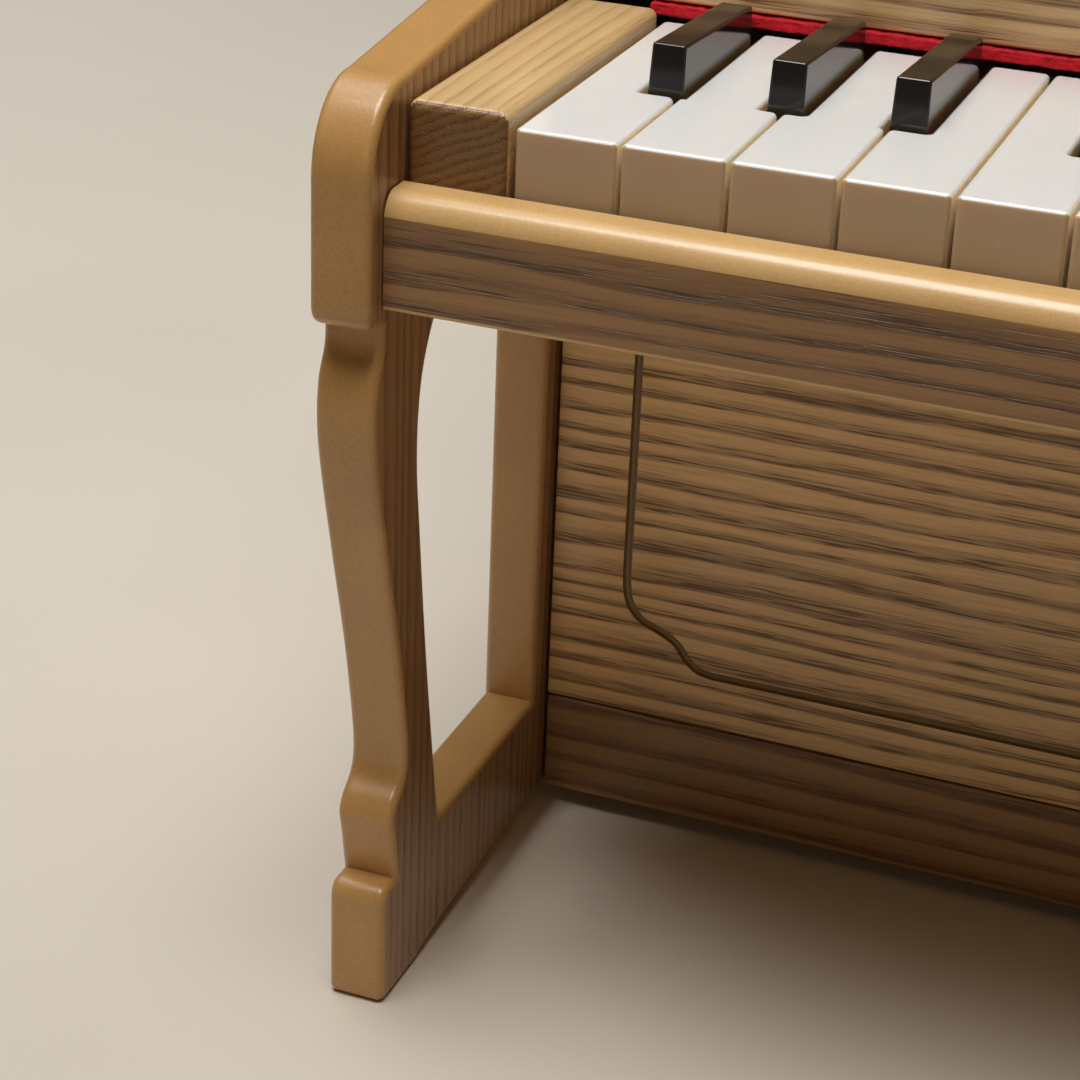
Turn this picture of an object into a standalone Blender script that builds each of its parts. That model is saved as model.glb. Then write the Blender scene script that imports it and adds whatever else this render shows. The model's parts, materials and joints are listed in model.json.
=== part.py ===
"""Miniature upright piano with 32 playing keys, built as separate parts in metres, +Z up.

The origin is on the floor, below the middle of the case. The keyboard faces -Y. Most places
are measured from the front ends of the white keys (depth) and from the floor (height).
"""

import math

import bmesh
import bpy
from mathutils import Matrix, Vector

# ---------------------------------------------------------------- driving dimensions
KEY_PITCH = 0.0191
WHITE_COUNT = 19
BOARD_T = 0.0116
CHEEK_SPAN = 0.01945
DEPTH = 0.235
BOARD_H = 0.296
KEY_TOP = 0.182
ARM_REACH = 0.0155
CASE_FRONT = 0.0798
FIT = 0.0003

KEY_SPAN = WHITE_COUNT * KEY_PITCH
INNER_X = KEY_SPAN / 2 + CHEEK_SPAN
OUTER_X = INNER_X + BOARD_T
KEY_FRONT_Y = ARM_REACH - DEPTH / 2
BACK = DEPTH - ARM_REACH

# Side boards
RIM = 0.0016
FOOT_RELIEF = 0.0034
OPENING_TOP = 0.146
OPENING_BACK = 0.073
TOE_TOP = 0.0286

# Keyboard
KEY_GAP = 0.0008
WHITE_END = 0.0775
WHITE_DROP = 0.0155
KEY_ROUND = 0.0008
NOTCH_FRONT = 0.0302
BLACK_FRONT = 0.0322
BLACK_END = 0.0735
BLACK_RISE = 0.0084
BLACK_FALL = 0.0021
BLACK_BASE = 0.0070
BLACK_CROWN = 0.0063
BLACK_RAKE = 0.0012
BLACK_ROUND = 0.0005
CAP_CLEAR = 0.0010
SHARP_SHIFT = {"f": -0.0031, "g": 0.0, "a": 0.0031, "c": -0.0023, "d": 0.0023}
WHITE_STICK = 0.0072
BLACK_STICK = 0.0056
STICK_BOTTOM = -0.013
STICK_TOP = -0.004
STICK_LAP = 0.012
PIVOT = 0.112
ROD_R = 0.00125
ROD_DROP = -0.0122
TAIL_END = 0.152
HAMMER = 0.146
HAMMER_TOP = 0.0018
HAMMER_CROWN = 0.0022
HAMMER_FOOT = 0.0035

# Key frame
RAIL_HALF = 0.0045
RAIL_FELT_T = 0.0021
RAIL_FELT_FRONT = 0.003
RAIL_FELT_BACK = 0.019
BACK_RAIL_W = 0.011
BACK_FELT_T = 0.0022

# Case
SLIP_FRONT = -0.0103
SLIP_BACK = -0.0015
SLIP_BOTTOM = 0.149
SLIP_TOP = 0.1703
BED_BOTTOM = 0.1494
BED_TOP = 0.1584
CHEEK_TOP = 0.1846
CHEEK_ROUND = 0.0018
PANEL_T = 0.008
PANEL_GAP = 0.0008
PLINTH_BOTTOM = 0.0042
PLINTH_TOP = 0.0273
BOTTOM_T = 0.006
BACK_T = 0.0055
NAME_BOTTOM = 0.1852
NAME_TOP = 0.2065
NAME_FELT_T = 0.0024
NAME_FELT_PROUD = 0.0014
NAME_FELT_TUCK = 0.0045
NAME_FELT_OVER = 0.0030
LEDGE_T = 0.0060
LEDGE_REACH = 0.0050
LEDGE_ROUND = 0.0015
PANEL_EASE = 0.0005
GROOVE_R = 0.001
GROOVE_INSET = 0.0179
GROOVE_LOW = 0.0405
LID_T = 0.0088
LID_OVER = 0.002
LID_FRONT = 0.0695
LID_SPLIT = 0.187
LID_SEAM = 0.0004
LID_ROUND = 0.002
HINGE_R = 0.0016
LEAF_T = 0.0008
LEAF_W = 0.0075
LEAF_HALF = 0.180
WEB_LAP = 0.001
KNUCKLES = 9

# Tone pipes
PIPE_R = 0.004
PIPE_LOW = 0.108
PIPE_HIGH = 0.060
PIPE_CENTRE = 0.1895
NODE_SHARE = 0.276
PIPE_RAIL_HALF = 0.004
PIPE_RAIL_DROP = 0.0022
CUSHION_HALF = 0.0022
CUSHION_BELOW = 0.0012
CUSHION_ABOVE = 0.0016

COLOURS = {
    "case_wood": ((0.60, 0.37, 0.17), 0.38, 0.0),
    "edge_wood": ((0.66, 0.43, 0.20), 0.36, 0.0),
    "inner_wood": ((0.55, 0.40, 0.24), 0.6, 0.0),
    "white_key": ((0.86, 0.84, 0.79), 0.12, 0.0),
    "black_key": ((0.012, 0.011, 0.011), 0.1, 0.0),
    "red_felt": ((0.66, 0.01, 0.03), 0.95, 0.0),
    "brass": ((0.80, 0.60, 0.28), 0.3, 1.0),
    "pipe_metal": ((0.80, 0.81, 0.83), 0.25, 1.0),
}


# ---------------------------------------------------------------- helpers
def clear_scene():
    for obj in list(bpy.data.objects):
        bpy.data.objects.remove(obj, do_unlink=True)


def depth(distance):
    """World Y of a distance behind the front ends of the white keys."""
    return KEY_FRONT_Y + distance


def material(slot):
    found = bpy.data.materials.get(slot)
    if found:
        return found
    colour, roughness, metallic = COLOURS[slot]
    made = bpy.data.materials.new(slot)
    made.use_nodes = True
    made.diffuse_color = (*colour, 1.0)
    shader = made.node_tree.nodes["Principled BSDF"]
    shader.inputs["Base Color"].default_value = (*colour, 1.0)
    shader.inputs["Roughness"].default_value = roughness
    shader.inputs["Metallic"].default_value = metallic
    return made


def add_object(name, mesh, slot):
    obj = bpy.data.objects.new(name, mesh)
    obj.data.materials.clear()
    if slot:
        obj.data.materials.append(material(slot))
    PIECES.objects.link(obj)
    return obj


def box(name, low, high, slot=None, rounding=0.0, segments=2):
    """A block between two corners, with rounded edges if a rounding is given."""
    bm = bmesh.new()
    bmesh.ops.create_cube(bm, size=1.0)
    low, high = Vector(low), Vector(high)
    size = high - low
    bmesh.ops.scale(bm, vec=size, verts=bm.verts)
    bmesh.ops.translate(bm, vec=(low + high) / 2, verts=bm.verts)
    mesh = bpy.data.meshes.new(name)
    bm.to_mesh(mesh)
    bm.free()
    obj = add_object(name, mesh, slot)
    if rounding:
        bevel = obj.modifiers.new("rounding", "BEVEL")
        bevel.width = rounding
        bevel.segments = segments
        bevel.limit_method = "ANGLE"
    return obj


def baked(obj):
    """The object with its modifiers and curve settings turned into one plain, welded mesh."""
    bpy.context.view_layer.update()
    graph = bpy.context.evaluated_depsgraph_get()
    mesh = bpy.data.meshes.new_from_object(obj.evaluated_get(graph))
    name, place = obj.name, obj.matrix_world.copy()
    slot = obj.data.materials[0].name if obj.data.materials else None
    bpy.data.objects.remove(obj, do_unlink=True)
    bm = bmesh.new()
    bm.from_mesh(mesh)
    bmesh.ops.remove_doubles(bm, verts=bm.verts, dist=1e-6)
    bmesh.ops.transform(bm, matrix=place, verts=bm.verts)
    bm.to_mesh(mesh)
    bm.free()
    made = add_object(name, mesh, slot)
    return made


def outline_solid(name, loops, low, high, across, slot=None, rim=0.0):
    """A flat outline with holes, given thickness from low to high along one axis.

    across is "X" for outlines of (depth, height) points and "Z" for plan outlines of (x, depth).
    """
    curve = bpy.data.curves.new(name, "CURVE")
    curve.dimensions = "2D"
    curve.fill_mode = "BOTH"
    curve.extrude = (high - low) / 2 - rim
    curve.bevel_depth = rim
    curve.bevel_resolution = 1
    curve.offset = -rim
    for loop in loops:
        spline = curve.splines.new("POLY")
        spline.points.add(len(loop) - 1)
        spline.use_cyclic_u = True
        for point, (a, b) in zip(spline.points, loop):
            point.co = (a, b, 0.0, 1.0)
    obj = add_object(name, curve, slot)
    middle = (low + high) / 2
    if across == "X":
        turn = Matrix(((0, 0, 1), (1, 0, 0), (0, 1, 0))).to_4x4()
        obj.matrix_world = Matrix.Translation((middle, KEY_FRONT_Y, 0.0)) @ turn
    else:
        obj.matrix_world = Matrix.Translation((0.0, KEY_FRONT_Y, middle))
    return baked(obj)


def joined(obj, other, operation="UNION"):
    """One closed body from two that overlap, or the first with the second cut away."""
    cut = obj.modifiers.new("join", "BOOLEAN")
    cut.operation = operation
    cut.object = other
    made = baked(obj)
    bpy.data.objects.remove(other, do_unlink=True)
    return made


def smooth(points, steps=4):
    """A Catmull-Rom curve through the given points, without its last point."""
    path = [Vector(p) for p in points]
    path = [2 * path[0] - path[1]] + path + [2 * path[-1] - path[-2]]
    curve = []
    for before, start, end, after in zip(path, path[1:], path[2:], path[3:]):
        for step in range(steps):
            t = step / steps
            curve.append(
                0.5
                * (
                    2 * start
                    + (end - before) * t
                    + (2 * before - 5 * start + 4 * end - after) * t**2
                    + (3 * start - before - 3 * end + after) * t**3
                )
            )
    return [tuple(p) for p in curve]


def quarter(centre, radii, start, turn, steps=6):
    """A quarter of an ellipse: start is its first angle in degrees, turn is +1 or -1."""
    angles = [math.radians(start + turn * 90 * i / steps) for i in range(steps + 1)]
    return [(centre[0] + radii[0] * math.cos(a), centre[1] + radii[1] * math.sin(a)) for a in angles]


def rod(name, start, end, radius, slot=None, sides=8):
    """A round bar between two points."""
    start, end = Vector(start), Vector(end)
    bm = bmesh.new()
    bmesh.ops.create_cone(
        bm, cap_ends=True, segments=sides, radius1=radius, radius2=radius, depth=(end - start).length
    )
    mesh = bpy.data.meshes.new(name)
    turn = (end - start).to_track_quat("Z", "Y").to_matrix().to_4x4()
    bmesh.ops.transform(bm, matrix=Matrix.Translation((start + end) / 2) @ turn, verts=bm.verts)
    bm.to_mesh(mesh)
    bm.free()
    return add_object(name, mesh, slot)


# ---------------------------------------------------------------- side boards
def board_outline():
    """The side board seen from its side: arm, shaped front leg, foot, back edge and top."""
    upper_front = CASE_FRONT - 0.006
    arm = [(0.0520, 0.1947), (0.0, 0.1889)]
    shoulder = quarter((-0.001, 0.1724), (ARM_REACH - 0.001, 0.0165), 90, 1, 8)
    underside = quarter((-0.0127, 0.1494), (0.0028, 0.0034), 180, 1, 3)
    leg = smooth(
        (
            (-0.0095, 0.1450),
            (-0.0100, 0.1405),
            (-0.0124, 0.1350),
            (-0.0131, 0.1270),
            (-0.0115, 0.1165),
            (-0.0064, 0.0965),
            (-0.0012, 0.0770),
            (0.0022, 0.0610),
            (0.0035, 0.0515),
            (0.0023, 0.0468),
            (-0.0012, 0.0436),
            (-0.0029, 0.0402),
            (-0.0019, 0.0350),
            (-0.0003, 0.0266),
        ),
        3,
    )
    foot = [(-0.0002, 0.0262)]
    foot += quarter((-0.0030, 0.0228), (0.0034, 0.0034), 90, 1, 4)
    foot += quarter((-0.0044, 0.0020), (0.0020, 0.0020), 180, 1, 3)
    rear_foot = BACK - 0.028
    base = quarter((0.080, 0.0), (0.068, FOOT_RELIEF), 180, -1, 6)
    base += quarter((rear_foot - 0.068, 0.0), (0.068, FOOT_RELIEF), 90, -1, 6)
    base += [(BACK, 0.0)]
    top = [(BACK, BOARD_H), (upper_front, BOARD_H)]
    sweep = quarter((upper_front - 0.0215, 0.2190), (0.0215, 0.0242), 0, -1, 7)
    return sweep[:-1] + arm + shoulder + underside + leg + foot + base + top


def opening_outline():
    """The opening between the leg, the toe rail and the rear part of the board."""
    leg_back = smooth(
        (
            (0.0216, TOE_TOP),
            (0.0181, 0.0468),
            (0.0135, 0.0728),
            (0.0098, 0.0980),
            (0.0079, 0.1132),
            (0.0086, 0.1260),
            (0.0118, 0.1350),
            (0.0175, 0.1418),
            (0.0280, OPENING_TOP),
        ),
        3,
    )
    return leg_back + [(0.0280, OPENING_TOP), (OPENING_BACK, OPENING_TOP), (OPENING_BACK, TOE_TOP)]


def make_side_boards():
    loops = [board_outline(), opening_outline()]
    outline_solid("side_board_left", loops, -OUTER_X, -INNER_X, "X", "case_wood", RIM)
    outline_solid("side_board_right", loops, INNER_X, OUTER_X, "X", "case_wood", RIM)


# ---------------------------------------------------------------- keyboard
def key_table():
    """(name, colour, index among the white keys, left side, right side) of every key.

    The sides are those of the body behind the notches: a black key's cap stands over the joint
    between two white keys, to one side of it, and their bodies leave it a little room.
    """
    keys = []
    octave = 1
    left = (KEY_GAP - KEY_SPAN) / 2
    for white in range(WHITE_COUNT):
        letter = "fgabcde"[white % 7]
        if letter == "c":
            octave += 1
        joint = (white + 1) * KEY_PITCH - KEY_SPAN / 2
        if letter in SHARP_SHIFT and white < WHITE_COUNT - 1:
            cap_left = joint + SHARP_SHIFT[letter] - BLACK_BASE / 2
            cap_right = cap_left + BLACK_BASE
            keys.append((f"key_{letter}_{octave}", "white", white, left, cap_left - CAP_CLEAR))
            keys.append((f"key_{letter}_sharp_{octave}", "black", white, cap_left, cap_right))
            left = cap_right + CAP_CLEAR
        else:
            keys.append((f"key_{letter}_{octave}", "white", white, left, joint - KEY_GAP / 2))
            left = joint + KEY_GAP / 2
    return keys


def stick_profile(front):
    """The wooden key lever seen from its side, with the notch for the rod and the hammer."""
    bottom, top = KEY_TOP + STICK_BOTTOM, KEY_TOP + STICK_TOP
    notch = ROD_R + 0.0003
    notch_top = KEY_TOP + ROD_DROP + ROD_R + 0.0004
    crown = KEY_TOP + HAMMER_TOP
    return [
        (front, bottom),
        (PIVOT - notch, bottom),
        (PIVOT - notch, notch_top),
        (PIVOT + notch, notch_top),
        (PIVOT + notch, bottom),
        (TAIL_END, bottom),
        (TAIL_END, top),
        (HAMMER + HAMMER_FOOT, top),
        (HAMMER + HAMMER_CROWN, crown),
        (HAMMER - HAMMER_CROWN, crown),
        (HAMMER - HAMMER_FOOT, top),
        (front, top),
    ]


def make_white_key(name, index, left, right):
    front_left = index * KEY_PITCH + (KEY_GAP - KEY_SPAN) / 2
    front_right = front_left + KEY_PITCH - KEY_GAP
    outline = [(front_left, 0.0), (front_right, 0.0)]
    if right < front_right - FIT:
        outline += [(front_right, NOTCH_FRONT), (right, NOTCH_FRONT)]
    outline += [(right, WHITE_END), (left, WHITE_END)]
    if left > front_left + FIT:
        outline += [(left, NOTCH_FRONT), (front_left, NOTCH_FRONT)]
    key = outline_solid(name, [outline], KEY_TOP - WHITE_DROP, KEY_TOP, "Z", "white_key", KEY_ROUND)
    low, high = (left + right - WHITE_STICK) / 2, (left + right + WHITE_STICK) / 2
    stick = outline_solid(name + "_stick", [stick_profile(WHITE_END - STICK_LAP)], low, high, "X")
    return joined(key, stick)


def black_cap(name, left, right):
    """The glossy cap: narrower at its crown, with a raked front, and lower towards its back."""
    centre = (left + right) / 2
    cap = box(
        name,
        (left, depth(BLACK_FRONT), KEY_TOP + STICK_TOP - 0.001),
        (right, depth(BLACK_END), KEY_TOP + BLACK_RISE),
        "black_key",
    )
    for vertex in cap.data.vertices:
        if vertex.co.z > KEY_TOP:
            vertex.co.x = centre + (vertex.co.x - centre) * BLACK_CROWN / BLACK_BASE
            if vertex.co.y < depth(BLACK_END) - 0.001:
                vertex.co.y += BLACK_RAKE
            else:
                vertex.co.z -= BLACK_FALL
    bevel = cap.modifiers.new("rounding", "BEVEL")
    bevel.width = BLACK_ROUND
    bevel.segments = 2
    return baked(cap)


def make_black_key(name, left, right):
    low, high = (left + right - BLACK_STICK) / 2, (left + right + BLACK_STICK) / 2
    key = outline_solid(name, [stick_profile(BLACK_FRONT + 0.001)], low, high, "X", "black_key")
    return joined(key, black_cap(name + "_cap", left, right))


def make_keys():
    for name, colour, index, left, right in key_table():
        if colour == "white":
            make_white_key(name, index, left, right)
        else:
            make_black_key(name, left, right)


def make_key_frame():
    """What the keys rest on and turn on: bed, felts, balance rail, rod and back rail."""
    inside = INNER_X - FIT
    box(
        "key_bed",
        (-inside, depth(SLIP_BACK + FIT), BED_BOTTOM),
        (inside, depth(BACK - BACK_T - FIT), BED_TOP),
        "inner_wood",
    )
    half = KEY_SPAN / 2
    box(
        "front_rail_felt",
        (-half, depth(RAIL_FELT_FRONT), BED_TOP + FIT),
        (half, depth(RAIL_FELT_BACK), BED_TOP + FIT + RAIL_FELT_T),
        "red_felt",
    )
    rail_top = KEY_TOP + ROD_DROP - ROD_R - FIT
    box(
        "balance_rail",
        (-inside, depth(PIVOT - RAIL_HALF), BED_TOP + FIT),
        (inside, depth(PIVOT + RAIL_HALF), rail_top),
        "inner_wood",
        0.0006,
        1,
    )
    rod_z = KEY_TOP + ROD_DROP
    rod("pivot_rod", (-inside, depth(PIVOT), rod_z), (inside, depth(PIVOT), rod_z), ROD_R, "brass")
    back_felt_top = KEY_TOP + STICK_BOTTOM - FIT
    back_rail_top = back_felt_top - BACK_FELT_T - FIT
    back_rail_end = TAIL_END - 0.001
    box(
        "back_rail",
        (-inside, depth(back_rail_end - BACK_RAIL_W), BED_TOP + FIT),
        (inside, depth(back_rail_end), back_rail_top),
        "inner_wood",
    )
    box(
        "back_rail_felt",
        (-half, depth(back_rail_end - BACK_RAIL_W + 0.001), back_rail_top + FIT),
        (half, depth(back_rail_end - 0.001), back_felt_top),
        "red_felt",
    )


# ---------------------------------------------------------------- case
def slip_profile():
    """The rail before the keys: its front top edge is well rounded, its others only eased."""
    points = [(SLIP_BACK, SLIP_BOTTOM), (SLIP_BACK, SLIP_TOP - 0.0006), (SLIP_BACK - 0.0006, SLIP_TOP)]
    points += quarter((SLIP_FRONT + 0.0042, SLIP_TOP - 0.0050), (0.0042, 0.0050), 90, 1, 6)
    points += quarter((SLIP_FRONT + 0.0012, SLIP_BOTTOM + 0.0012), (0.0012, 0.0012), 180, 1, 3)
    return points


def make_front():
    inside = INNER_X - FIT
    outline_solid("key_slip", [slip_profile()], -inside, inside, "X", "edge_wood")
    for name, side in (("cheek_block_left", -1), ("cheek_block_right", 1)):
        near, far = side * (KEY_SPAN / 2 + 0.0005), side * inside
        box(
            name,
            (min(near, far), depth(SLIP_BACK + FIT), BED_TOP + FIT),
            (max(near, far), depth(WHITE_END - 0.0005), CHEEK_TOP),
            "edge_wood",
            CHEEK_ROUND,
        )


def groove_path():
    """Half of the ornamental line on the lower panel, from its bottom middle to its top middle."""
    side = INNER_X - GROOVE_INSET
    low = GROOVE_LOW
    high = PLINTH_TOP + SLIP_BOTTOM - GROOVE_LOW
    corner = smooth(
        (
            (side - 0.0205, low),
            (side - 0.0172, low + 0.0006),
            (side - 0.0146, low + 0.0026),
            (side - 0.0119, low + 0.0060),
            (side - 0.0080, low + 0.0082),
            (side - 0.0038, low + 0.0100),
            (side - 0.0010, low + 0.0134),
            (side, low + 0.0190),
            (side, low + 0.0300),
        ),
        2,
    )
    upper = [(x, low + high - z) for x, z in reversed(corner)]
    return corner + upper


def make_lower_panel():
    wide = INNER_X - PANEL_GAP
    panel = box(
        "lower_panel",
        (-wide, depth(CASE_FRONT), PLINTH_TOP + PANEL_GAP / 2),
        (wide, depth(CASE_FRONT + PANEL_T), BED_BOTTOM - FIT),
        "case_wood",
    )
    half = groove_path()
    ring = half + [(-x, z) for x, z in reversed(half)]
    groove = bpy.data.curves.new("groove", "CURVE")
    groove.dimensions = "3D"
    groove.bevel_depth = GROOVE_R
    groove.bevel_resolution = 1
    spline = groove.splines.new("POLY")
    spline.points.add(len(ring) - 1)
    spline.use_cyclic_u = True
    for point, (x, z) in zip(spline.points, ring):
        point.co = (x, depth(CASE_FRONT), z, 1.0)
    joined(panel, baked(add_object("groove", groove, None)), "DIFFERENCE")


def make_case():
    wide = INNER_X - PANEL_GAP
    inside = INNER_X - FIT
    box(
        "plinth_rail",
        (-wide, depth(CASE_FRONT), PLINTH_BOTTOM),
        (wide, depth(CASE_FRONT + PANEL_T), PLINTH_TOP),
        "case_wood",
        0.0004,
        1,
    )
    box(
        "bottom_board",
        (-inside, depth(CASE_FRONT + PANEL_T + FIT), PLINTH_BOTTOM + 0.001),
        (inside, depth(BACK - BACK_T - FIT), PLINTH_BOTTOM + 0.001 + BOTTOM_T),
        "inner_wood",
    )
    box(
        "back_panel",
        (-inside, depth(BACK - BACK_T), PLINTH_BOTTOM),
        (inside, depth(BACK - 0.0005), BOARD_H - FIT),
        "inner_wood",
    )
    box(
        "name_board",
        (-wide, depth(CASE_FRONT), NAME_BOTTOM),
        (wide, depth(CASE_FRONT + PANEL_T), NAME_TOP),
        "case_wood",
        PANEL_EASE,
        1,
    )
    felt_half = KEY_SPAN / 2 + NAME_FELT_OVER
    box(
        "name_board_felt",
        (-felt_half, depth(CASE_FRONT - NAME_FELT_PROUD), NAME_BOTTOM - FIT - NAME_FELT_T),
        (felt_half, depth(CASE_FRONT + NAME_FELT_TUCK), NAME_BOTTOM - FIT),
        "red_felt",
    )
    ledge_top = NAME_TOP + FIT + LEDGE_T
    box(
        "upper_panel",
        (-wide, depth(CASE_FRONT), ledge_top + FIT),
        (wide, depth(CASE_FRONT + PANEL_T), BOARD_H - FIT),
        "case_wood",
        PANEL_EASE,
        1,
    )
    box(
        "music_ledge",
        (-wide, depth(CASE_FRONT - LEDGE_REACH), NAME_TOP + FIT),
        (wide, depth(CASE_FRONT + PANEL_T), ledge_top),
        "edge_wood",
        LEDGE_ROUND,
    )


# ---------------------------------------------------------------- lid and its hinge
def make_lid():
    wide = OUTER_X + LID_OVER
    bottom, top = BOARD_H + FIT, BOARD_H + LID_T
    front = (depth(LID_FRONT), depth(LID_SPLIT - LID_SEAM))
    rear = (depth(LID_SPLIT + LID_SEAM), depth(BACK))
    for name, (near, far) in (("top_lid", front), ("top_rear_strip", rear)):
        box(name, (-wide, near, bottom), (wide, far, top), "edge_wood", LID_ROUND)
    make_hinge(top + FIT)


def make_hinge(base):
    """A long strip hinge lying on the top, its two leaves' knuckles in turn over the seam."""
    pitch = 2 * LEAF_HALF / KNUCKLES
    for name, side, first in (("lid_hinge_rear_leaf", 1, 0), ("lid_hinge_front_leaf", -1, 1)):
        near = LID_SPLIT + side * (LID_SEAM + HINGE_R)
        far = LID_SPLIT + side * LEAF_W
        lapped = near + side * WEB_LAP
        leaf = box(
            name,
            (-LEAF_HALF, depth(min(near, far)), base),
            (LEAF_HALF, depth(max(near, far)), base + LEAF_T),
            "brass",
        )
        for i in range(first, KNUCKLES, 2):
            start = -LEAF_HALF + i * pitch + FIT
            end = start + pitch - 2 * FIT
            web = box(
                name + "_web",
                (start, depth(min(LID_SPLIT, lapped)), base),
                (end, depth(max(LID_SPLIT, lapped)), base + LEAF_T),
            )
            axis = (depth(LID_SPLIT), base + HINGE_R)
            knuckle = rod(name + "_knuckle", (start, *axis), (end, *axis), HINGE_R)
            leaf = joined(joined(leaf, web), knuckle)


# ---------------------------------------------------------------- tone pipes
def pipe_bar(name, side, half_width, bottom, top, slot):
    """A bar across the case under the pipes' still points, nearer the hammers in the treble."""
    inside = INNER_X - FIT
    at_left = HAMMER + side * PIPE_LOW * NODE_SHARE
    at_right = HAMMER + side * PIPE_HIGH * NODE_SHARE
    outline = [
        (-inside, at_left - half_width),
        (inside, at_right - half_width),
        (inside, at_right + half_width),
        (-inside, at_left + half_width),
    ]
    return outline_solid(name, [outline], bottom, top, "Z", slot)


def make_pipes():
    """Metal pipes lying front to back over the hammers, long in the bass and short in the treble."""
    low = PIPE_CENTRE - PIPE_R - CUSHION_BELOW
    high = PIPE_CENTRE - PIPE_R + CUSHION_ABOVE
    rail_bottom = KEY_TOP - PIPE_RAIL_DROP
    pipe_bar("pipe_rail_front", -1, PIPE_RAIL_HALF, rail_bottom, low - FIT, "inner_wood")
    bank = pipe_bar("tone_pipes", -1, CUSHION_HALF, low, high, "pipe_metal")
    keys = key_table()
    for i, (key, _, _, left, right) in enumerate(keys):
        half = (PIPE_LOW + (PIPE_HIGH - PIPE_LOW) * i / (len(keys) - 1)) / 2
        middle = (left + right) / 2
        start = (middle, depth(HAMMER) - half, PIPE_CENTRE)
        end = (middle, depth(HAMMER) + half, PIPE_CENTRE)
        bank = joined(bank, rod(key + "_pipe", start, end, PIPE_R))
    pipe_bar("pipe_rail_back", 1, PIPE_RAIL_HALF, rail_bottom, low - FIT, "inner_wood")
    joined(bank, pipe_bar("pipe_cushion_back", 1, CUSHION_HALF, low, high, "pipe_metal"))


PIECES = bpy.data.collections.new("miniature_upright_piano")
clear_scene()
bpy.context.scene.collection.children.link(PIECES)
make_side_boards()
make_keys()
make_key_frame()
make_front()
make_lower_panel()
make_case()
make_lid()
make_pipes()
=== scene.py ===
import json
import math

import bmesh
import bpy
import numpy as np
from mathutils import Matrix, Vector


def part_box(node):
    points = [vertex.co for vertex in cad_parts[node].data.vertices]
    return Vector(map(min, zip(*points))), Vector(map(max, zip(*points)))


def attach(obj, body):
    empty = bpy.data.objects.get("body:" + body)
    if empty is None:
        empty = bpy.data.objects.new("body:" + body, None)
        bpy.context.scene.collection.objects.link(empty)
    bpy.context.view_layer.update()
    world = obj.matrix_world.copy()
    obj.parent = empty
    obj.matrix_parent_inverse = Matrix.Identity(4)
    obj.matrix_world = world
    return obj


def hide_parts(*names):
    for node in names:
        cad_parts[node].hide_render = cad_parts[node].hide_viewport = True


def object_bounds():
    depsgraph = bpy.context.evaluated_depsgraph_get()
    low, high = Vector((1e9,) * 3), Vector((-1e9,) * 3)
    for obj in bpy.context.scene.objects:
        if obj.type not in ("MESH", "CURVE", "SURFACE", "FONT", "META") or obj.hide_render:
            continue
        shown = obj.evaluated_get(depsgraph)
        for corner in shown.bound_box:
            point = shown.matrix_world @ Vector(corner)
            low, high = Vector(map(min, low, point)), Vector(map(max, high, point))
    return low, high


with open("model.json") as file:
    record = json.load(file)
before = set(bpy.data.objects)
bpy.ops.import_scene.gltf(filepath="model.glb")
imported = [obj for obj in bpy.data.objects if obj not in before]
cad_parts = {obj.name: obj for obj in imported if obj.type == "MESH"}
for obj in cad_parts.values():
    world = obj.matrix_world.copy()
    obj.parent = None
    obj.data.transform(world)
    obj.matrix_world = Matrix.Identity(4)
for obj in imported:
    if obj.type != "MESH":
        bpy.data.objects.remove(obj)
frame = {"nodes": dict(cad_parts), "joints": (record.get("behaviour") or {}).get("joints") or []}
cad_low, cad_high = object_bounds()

# ---------------------------------------------------------------- camera
# A long lens close to the bass end of the keyboard, looking down on the keys and past the left
# front leg to the lower panel.
EYE = Vector((-0.01945, -0.51765, 0.32169))
TURN_LEFT = math.radians(20.35)
LOOK_DOWN = math.radians(25.95)
TILT = math.radians(2.3)

lens = bpy.data.cameras.new("portrait_lens")
lens.lens = 90.96
lens.sensor_width = 36.0
lens.clip_start = 0.01
camera = bpy.data.objects.new("camera", lens)
aim = Matrix.Rotation(TURN_LEFT, 4, "Z") @ Matrix.Rotation(math.pi / 2 - LOOK_DOWN, 4, "X")
camera.matrix_world = Matrix.Translation(EYE) @ aim @ Matrix.Rotation(TILT, 4, "Z")
bpy.context.scene.collection.objects.link(camera)
bpy.context.scene.camera = camera


# ---------------------------------------------------------------- floor and light
# A plain pale floor under a softbox overhead, with weaker ones before and behind the piano and a
# dim room around it. A fourth, with a grid on it, brightens the floor to the left.
def node(tree, kind, inputs=None, **settings):
    """A shader node; each input takes a value, or the socket that feeds it."""
    made = tree.nodes.new("ShaderNode" + kind)
    for name, value in settings.items():
        setattr(made, name, value)
    for socket, value in (inputs or {}).items():
        if isinstance(value, bpy.types.NodeSocket):
            tree.links.new(value, made.inputs[socket])
        else:
            made.inputs[socket].default_value = value
    return made


def new_material(name, roughness, coat=0.0, coat_roughness=0.1):
    """A material, its node tree and its shader, with the values that are the same all over."""
    made = bpy.data.materials.new(name)
    made.use_nodes = True
    shader = made.node_tree.nodes["Principled BSDF"]
    shader.inputs["Roughness"].default_value = roughness
    shader.inputs["Coat Weight"].default_value = coat
    shader.inputs["Coat Roughness"].default_value = coat_roughness
    return made, made.node_tree, shader


def place(tree, along=(1.0, 1.0, 1.0), shift=0.0):
    """Where a point lies on the piece, stretched by a scale for each direction."""
    at = node(tree, "TexCoord").outputs["Object"]
    return node(tree, "Mapping", {"Vector": at, "Location": (shift,) * 3, "Scale": along}).outputs[0]


def noise(tree, vector, scale, detail=2.0, roughness=0.5):
    inputs = {"Vector": vector, "Scale": scale, "Detail": detail, "Roughness": roughness}
    return node(tree, "TexNoise", inputs).outputs[0]


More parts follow.
